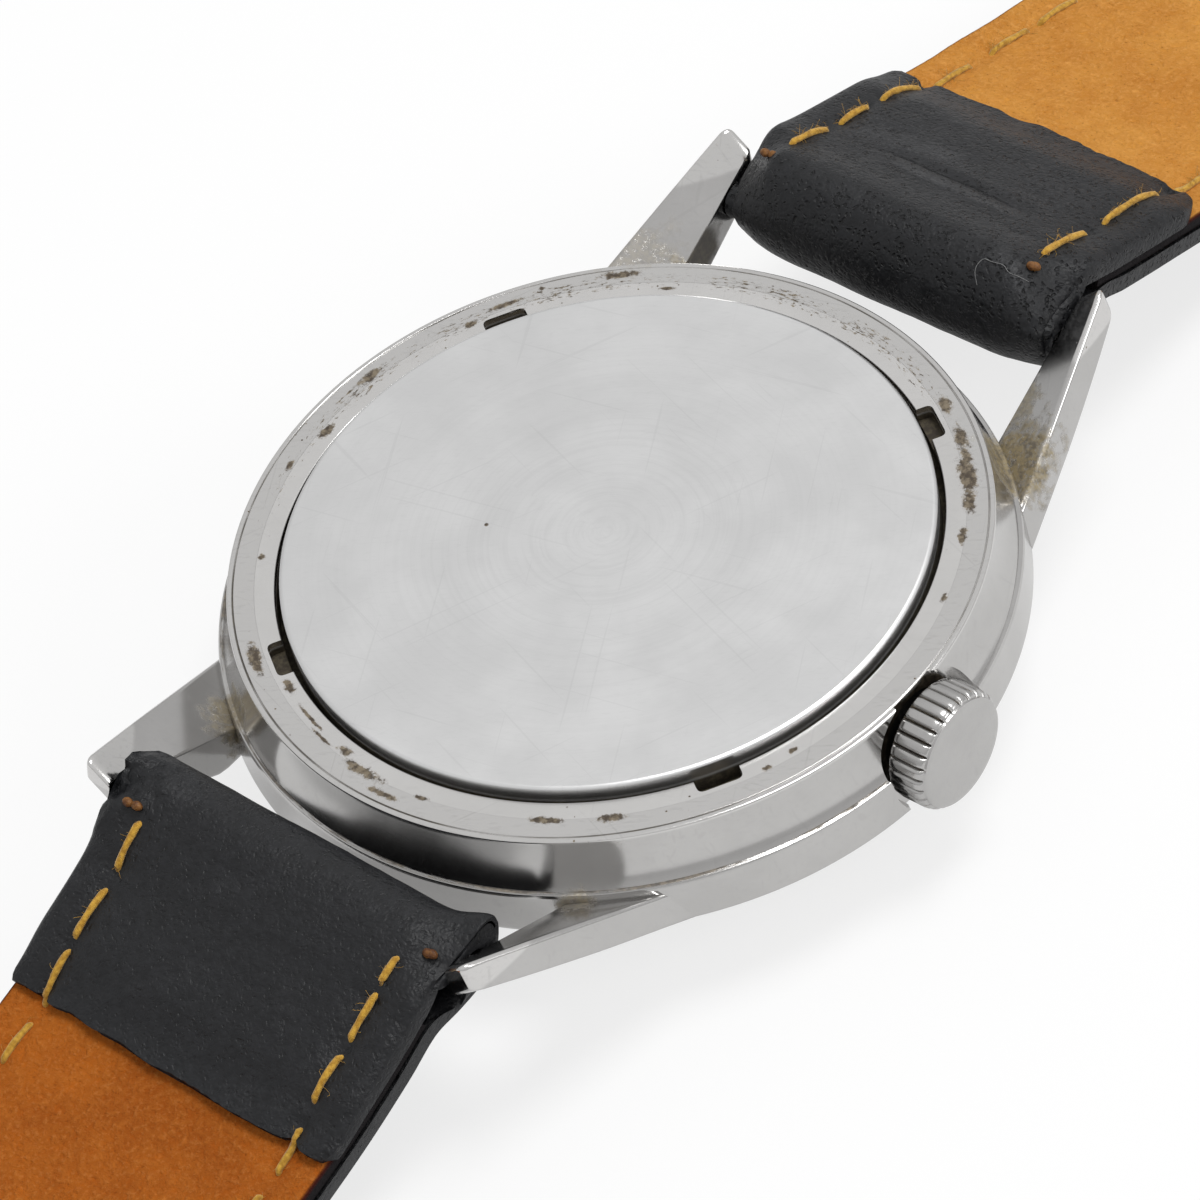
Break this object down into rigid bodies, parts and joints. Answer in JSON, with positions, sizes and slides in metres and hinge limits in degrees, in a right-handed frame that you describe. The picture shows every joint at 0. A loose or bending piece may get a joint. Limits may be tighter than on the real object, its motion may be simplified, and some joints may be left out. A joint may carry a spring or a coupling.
{
  "type": "wristwatch",
  "caption": "Round steel hand-wound wristwatch lying dial down, with a ringed screw back, fluted crown, swept lugs and a stitched leather strap with a pin buckle.",
  "frame": {"origin": "centre of the crystal's flat outer face, on which the watch lies", "axes": "+Z out of the case back, +X towards the crown at 3 o'clock, +Y towards 6 o'clock along the strap"},
  "size_m": [0.0353, 0.2339, 0.0097],
  "materials": {
    "case_steel": "polished steel, worn and lightly scratched",
    "back_steel": "fine satin, turned marks worn almost smooth",
    "crystal": "clear acrylic, lightly scuffed",
    "seal": "matte",
    "plate_metal": "grained nickel plate",
    "wheel_brass": "gilt",
    "works_steel": "polished",
    "spring_steel": "blued",
    "jewel": "polished synthetic ruby",
    "dial_face": "matte lacquer",
    "hand_metal": "polished",
    "strap_leather": "smooth black finish, creased at the bars",
    "strap_lining": "tan, napped and worn",
    "buckle_steel": "polished"
  },
  "bodies": {
    "case": {"mid_case": "case_steel", "crown_tube": "case_steel", "bezel": "case_steel", "crystal": "crystal", "back_gasket": "seal", "movement_ring": "plate_metal", "mainplate": "plate_metal", "barrel_bridge": "plate_metal", "train_bridge": "plate_metal", "balance_cock": "plate_metal", "pallet_bridge": "plate_metal", "jewels": "jewel", "movement_screws": "works_steel", "hairspring": "spring_steel", "dial": "dial_face", "hour_markers": "hand_metal", "spring_bar_12": "works_steel", "spring_bar_6": "works_steel"},
    "case_back": {"case_back": "back_steel"},
    "back_ring": {"back_ring": "back_steel"},
    "winding_pinion": {"winding_pinion": "works_steel"},
    "crown_and_stem": {"winding_stem": "works_steel", "crown": "case_steel", "crown_gasket": "seal"},
    "clutch": {"clutch": "works_steel"},
    "setting_lever": {"setting_lever": "works_steel"},
    "yoke": {"yoke": "works_steel"},
    "crown_wheel": {"crown_wheel": "works_steel"},
    "ratchet": {"ratchet_wheel": "works_steel", "barrel_arbor": "works_steel"},
    "click": {"click": "works_steel"},
    "fourth": {"fourth_wheel": "wheel_brass", "seconds_hand": "hand_metal"},
    "third": {"third_wheel": "wheel_brass"},
    "centre": {"centre_wheel": "wheel_brass", "cannon_pinion": "works_steel", "minute_hand": "hand_metal"},
    "barrel": {"barrel": "wheel_brass", "mainspring": "spring_steel"},
    "escape": {"escape_wheel": "works_steel"},
    "pallet_fork": {"pallet_fork": "works_steel"},
    "balance": {"balance_wheel": "wheel_brass"},
    "minute_work": {"minute_wheel": "wheel_brass"},
    "hour": {"hour_wheel": "wheel_brass", "hour_hand": "hand_metal"},
    "setting_wheel": {"setting_wheel": "works_steel"},
    "strap_12": {"strap_12_leather": "strap_leather", "strap_12_lining": "strap_lining", "fixed_keeper": "strap_leather", "buckle_bar": "buckle_steel"},
    "strap_6": {"strap_6_leather": "strap_leather", "strap_6_lining": "strap_lining"},
    "buckle": {"buckle": "buckle_steel"},
    "tang": {"tang": "buckle_steel"},
    "free_keeper": {"free_keeper": "strap_leather"},
    "pin_12_left": {"bar_pin_12_left": "works_steel"},
    "pin_12_right": {"bar_pin_12_right": "works_steel"},
    "pin_6_left": {"bar_pin_6_left": "works_steel"},
    "pin_6_right": {"bar_pin_6_right": "works_steel"}
  },
  "joints": [
    {"name": "crown_turn", "type": "hinge", "parent": "case", "child": "winding_pinion", "pos_m": [0.00927, 0, 0.0062], "axis": [1, 0, 0], "continuous": true},
    {"name": "crown_pull", "type": "slide", "parent": "winding_pinion", "child": "crown_and_stem", "axis": [1, 0, 0], "range_m": [0, 0.0008]},
    {"name": "clutch_slide", "type": "slide", "parent": "winding_pinion", "child": "clutch", "axis": [1, 0, 0], "range_m": [-0.001, 0]},
    {"name": "setting_lever_swing", "type": "hinge", "parent": "case", "child": "setting_lever", "pos_m": [0.01115, -0.003, 0.0041], "axis": [0, 0, 1], "range_deg": [-20, 2]},
    {"name": "yoke_swing", "type": "hinge", "parent": "case", "child": "yoke", "pos_m": [0.00825, 0.0033, 0.0041], "axis": [0, 0, 1], "range_deg": [-14, 2]},
    {"name": "crown_wheel_turn", "type": "hinge", "parent": "case", "child": "crown_wheel", "pos_m": [0.0068, 0, 0.0075], "axis": [0, 0, 1], "continuous": true},
    {"name": "ratchet_turn", "type": "hinge", "parent": "case", "child": "ratchet", "pos_m": [0.0026, -0.00557, 0.0075], "axis": [0, 0, 1], "continuous": true},
    {"name": "click_swing", "type": "hinge", "parent": "case", "child": "click", "pos_m": [-0.00315, -0.00701, 0.0076], "axis": [0, 0, 1], "range_deg": [0, 10]},
    {"name": "fourth_turn", "type": "hinge", "parent": "case", "child": "fourth", "pos_m": [0, 0.0062, 0.0055], "axis": [0, 0, 1], "continuous": true},
    {"name": "third_turn", "type": "hinge", "parent": "case", "child": "third", "pos_m": [0.0022, 0.00313, 0.0059], "axis": [0, 0, 1], "continuous": true},
    {"name": "centre_turn", "type": "hinge", "parent": "case", "child": "centre", "pos_m": [0, 0, 0.0064], "axis": [0, 0, 1], "continuous": true},
    {"name": "barrel_turn", "type": "hinge", "parent": "case", "child": "barrel", "pos_m": [0.0026, -0.00557, 0.0055], "axis": [0, 0, 1], "continuous": true},
    {"name": "escape_turn", "type": "hinge", "parent": "case", "child": "escape", "pos_m": [-0.00341, 0.00496, 0.0059], "axis": [0, 0, 1], "continuous": true},
    {"name": "pallet_swing", "type": "hinge", "parent": "case", "child": "pallet_fork", "pos_m": [-0.00509, 0.00347, 0.0059], "axis": [0, 0, 1], "range_deg": [-5, 5]},
    {"name": "balance_swing", "type": "hinge", "parent": "case", "child": "balance", "pos_m": [-0.0072, 0.0016, 0.0067], "axis": [0, 0, 1], "range_deg": [-220, 220], "stiffness_Nm_per_rad": 0.00000014},
    {"name": "minute_work_turn", "type": "hinge", "parent": "case", "child": "minute_work", "pos_m": [0.00262, 0.00184, 0.0045], "axis": [0, 0, 1], "continuous": true},
    {"name": "hour_turn", "type": "hinge", "parent": "case", "child": "hour", "pos_m": [0, 0, 0.0042], "axis": [0, 0, 1], "continuous": true},
    {"name": "setting_wheel_turn", "type": "hinge", "parent": "case", "child": "setting_wheel", "pos_m": [0.00562, 0, 0.0046], "axis": [0, 0, 1], "continuous": true},
    {"name": "back_lift", "type": "slide", "parent": "case", "child": "case_back", "axis": [0, 0, 1], "range_m": [0, 0.012]},
    {"name": "back_ring_turn", "type": "hinge", "parent": "case_back", "child": "back_ring", "pos_m": [0, 0, 0.008], "axis": [0, 0, 1], "continuous": true},
    {"name": "strap_12_swing", "type": "hinge", "parent": "case", "child": "strap_12", "pos_m": [0, -0.0196, 0.00755], "axis": [-1, 0, 0], "range_deg": [-10, 95]},
    {"name": "strap_6_swing", "type": "hinge", "parent": "case", "child": "strap_6", "pos_m": [0, 0.0196, 0.00755], "axis": [1, 0, 0], "range_deg": [-10, 95]},
    {"name": "buckle_swing", "type": "hinge", "parent": "strap_12", "child": "buckle", "pos_m": [0, -0.09, 0.00425], "axis": [-1, 0, 0], "range_deg": [-20, 70]},
    {"name": "tang_swing", "type": "hinge", "parent": "buckle", "child": "tang", "pos_m": [0, -0.09, 0.00425], "axis": [1, 0, 0], "range_deg": [0, 70]},
    {"name": "free_keeper_slide", "type": "slide", "parent": "strap_12", "child": "free_keeper", "axis": [0, -1, 0], "range_m": [-0.005, 0.005]},
    {"name": "pin_12_left_press", "type": "slide", "parent": "case", "child": "pin_12_left", "axis": [1, 0, 0], "range_m": [0, 0.00095], "stiffness_N_per_m": 200, "springref_m": -0.001},
    {"name": "pin_12_right_press", "type": "slide", "parent": "case", "child": "pin_12_right", "axis": [-1, 0, 0], "range_m": [0, 0.00095], "stiffness_N_per_m": 200, "springref_m": -0.001},
    {"name": "pin_6_left_press", "type": "slide", "parent": "case", "child": "pin_6_left", "axis": [1, 0, 0], "range_m": [0, 0.00095], "stiffness_N_per_m": 200, "springref_m": -0.001},
    {"name": "pin_6_right_press", "type": "slide", "parent": "case", "child": "pin_6_right", "axis": [-1, 0, 0], "range_m": [0, 0.00095], "stiffness_N_per_m": 200, "springref_m": -0.001}
  ],
  "couplings": [
    {"joint": "clutch_slide", "follows": "crown_pull", "ratio": -0.75},
    {"joint": "setting_lever_swing", "follows": "crown_pull", "rad_per_m": -337.42},
    {"joint": "yoke_swing", "follows": "crown_pull", "rad_per_m": -228.54},
    {"joint": "crown_wheel_turn", "follows": "crown_turn", "ratio": -0.5},
    {"joint": "ratchet_turn", "follows": "crown_turn", "ratio": 0.3},
    {"joint": "third_turn", "follows": "fourth_turn", "ratio": -0.125},
    {"joint": "centre_turn", "follows": "fourth_turn", "ratio": 0.016667},
    {"joint": "barrel_turn", "follows": "fourth_turn", "ratio": -0.0027778},
    {"joint": "escape_turn", "follows": "fourth_turn", "ratio": -10},
    {"joint": "minute_work_turn", "follows": "fourth_turn", "ratio": -0.0055556},
    {"joint": "hour_turn", "follows": "fourth_turn", "ratio": 0.0013889},
    {"joint": "setting_wheel_turn", "follows": "fourth_turn", "ratio": 0.011905}
  ]
}
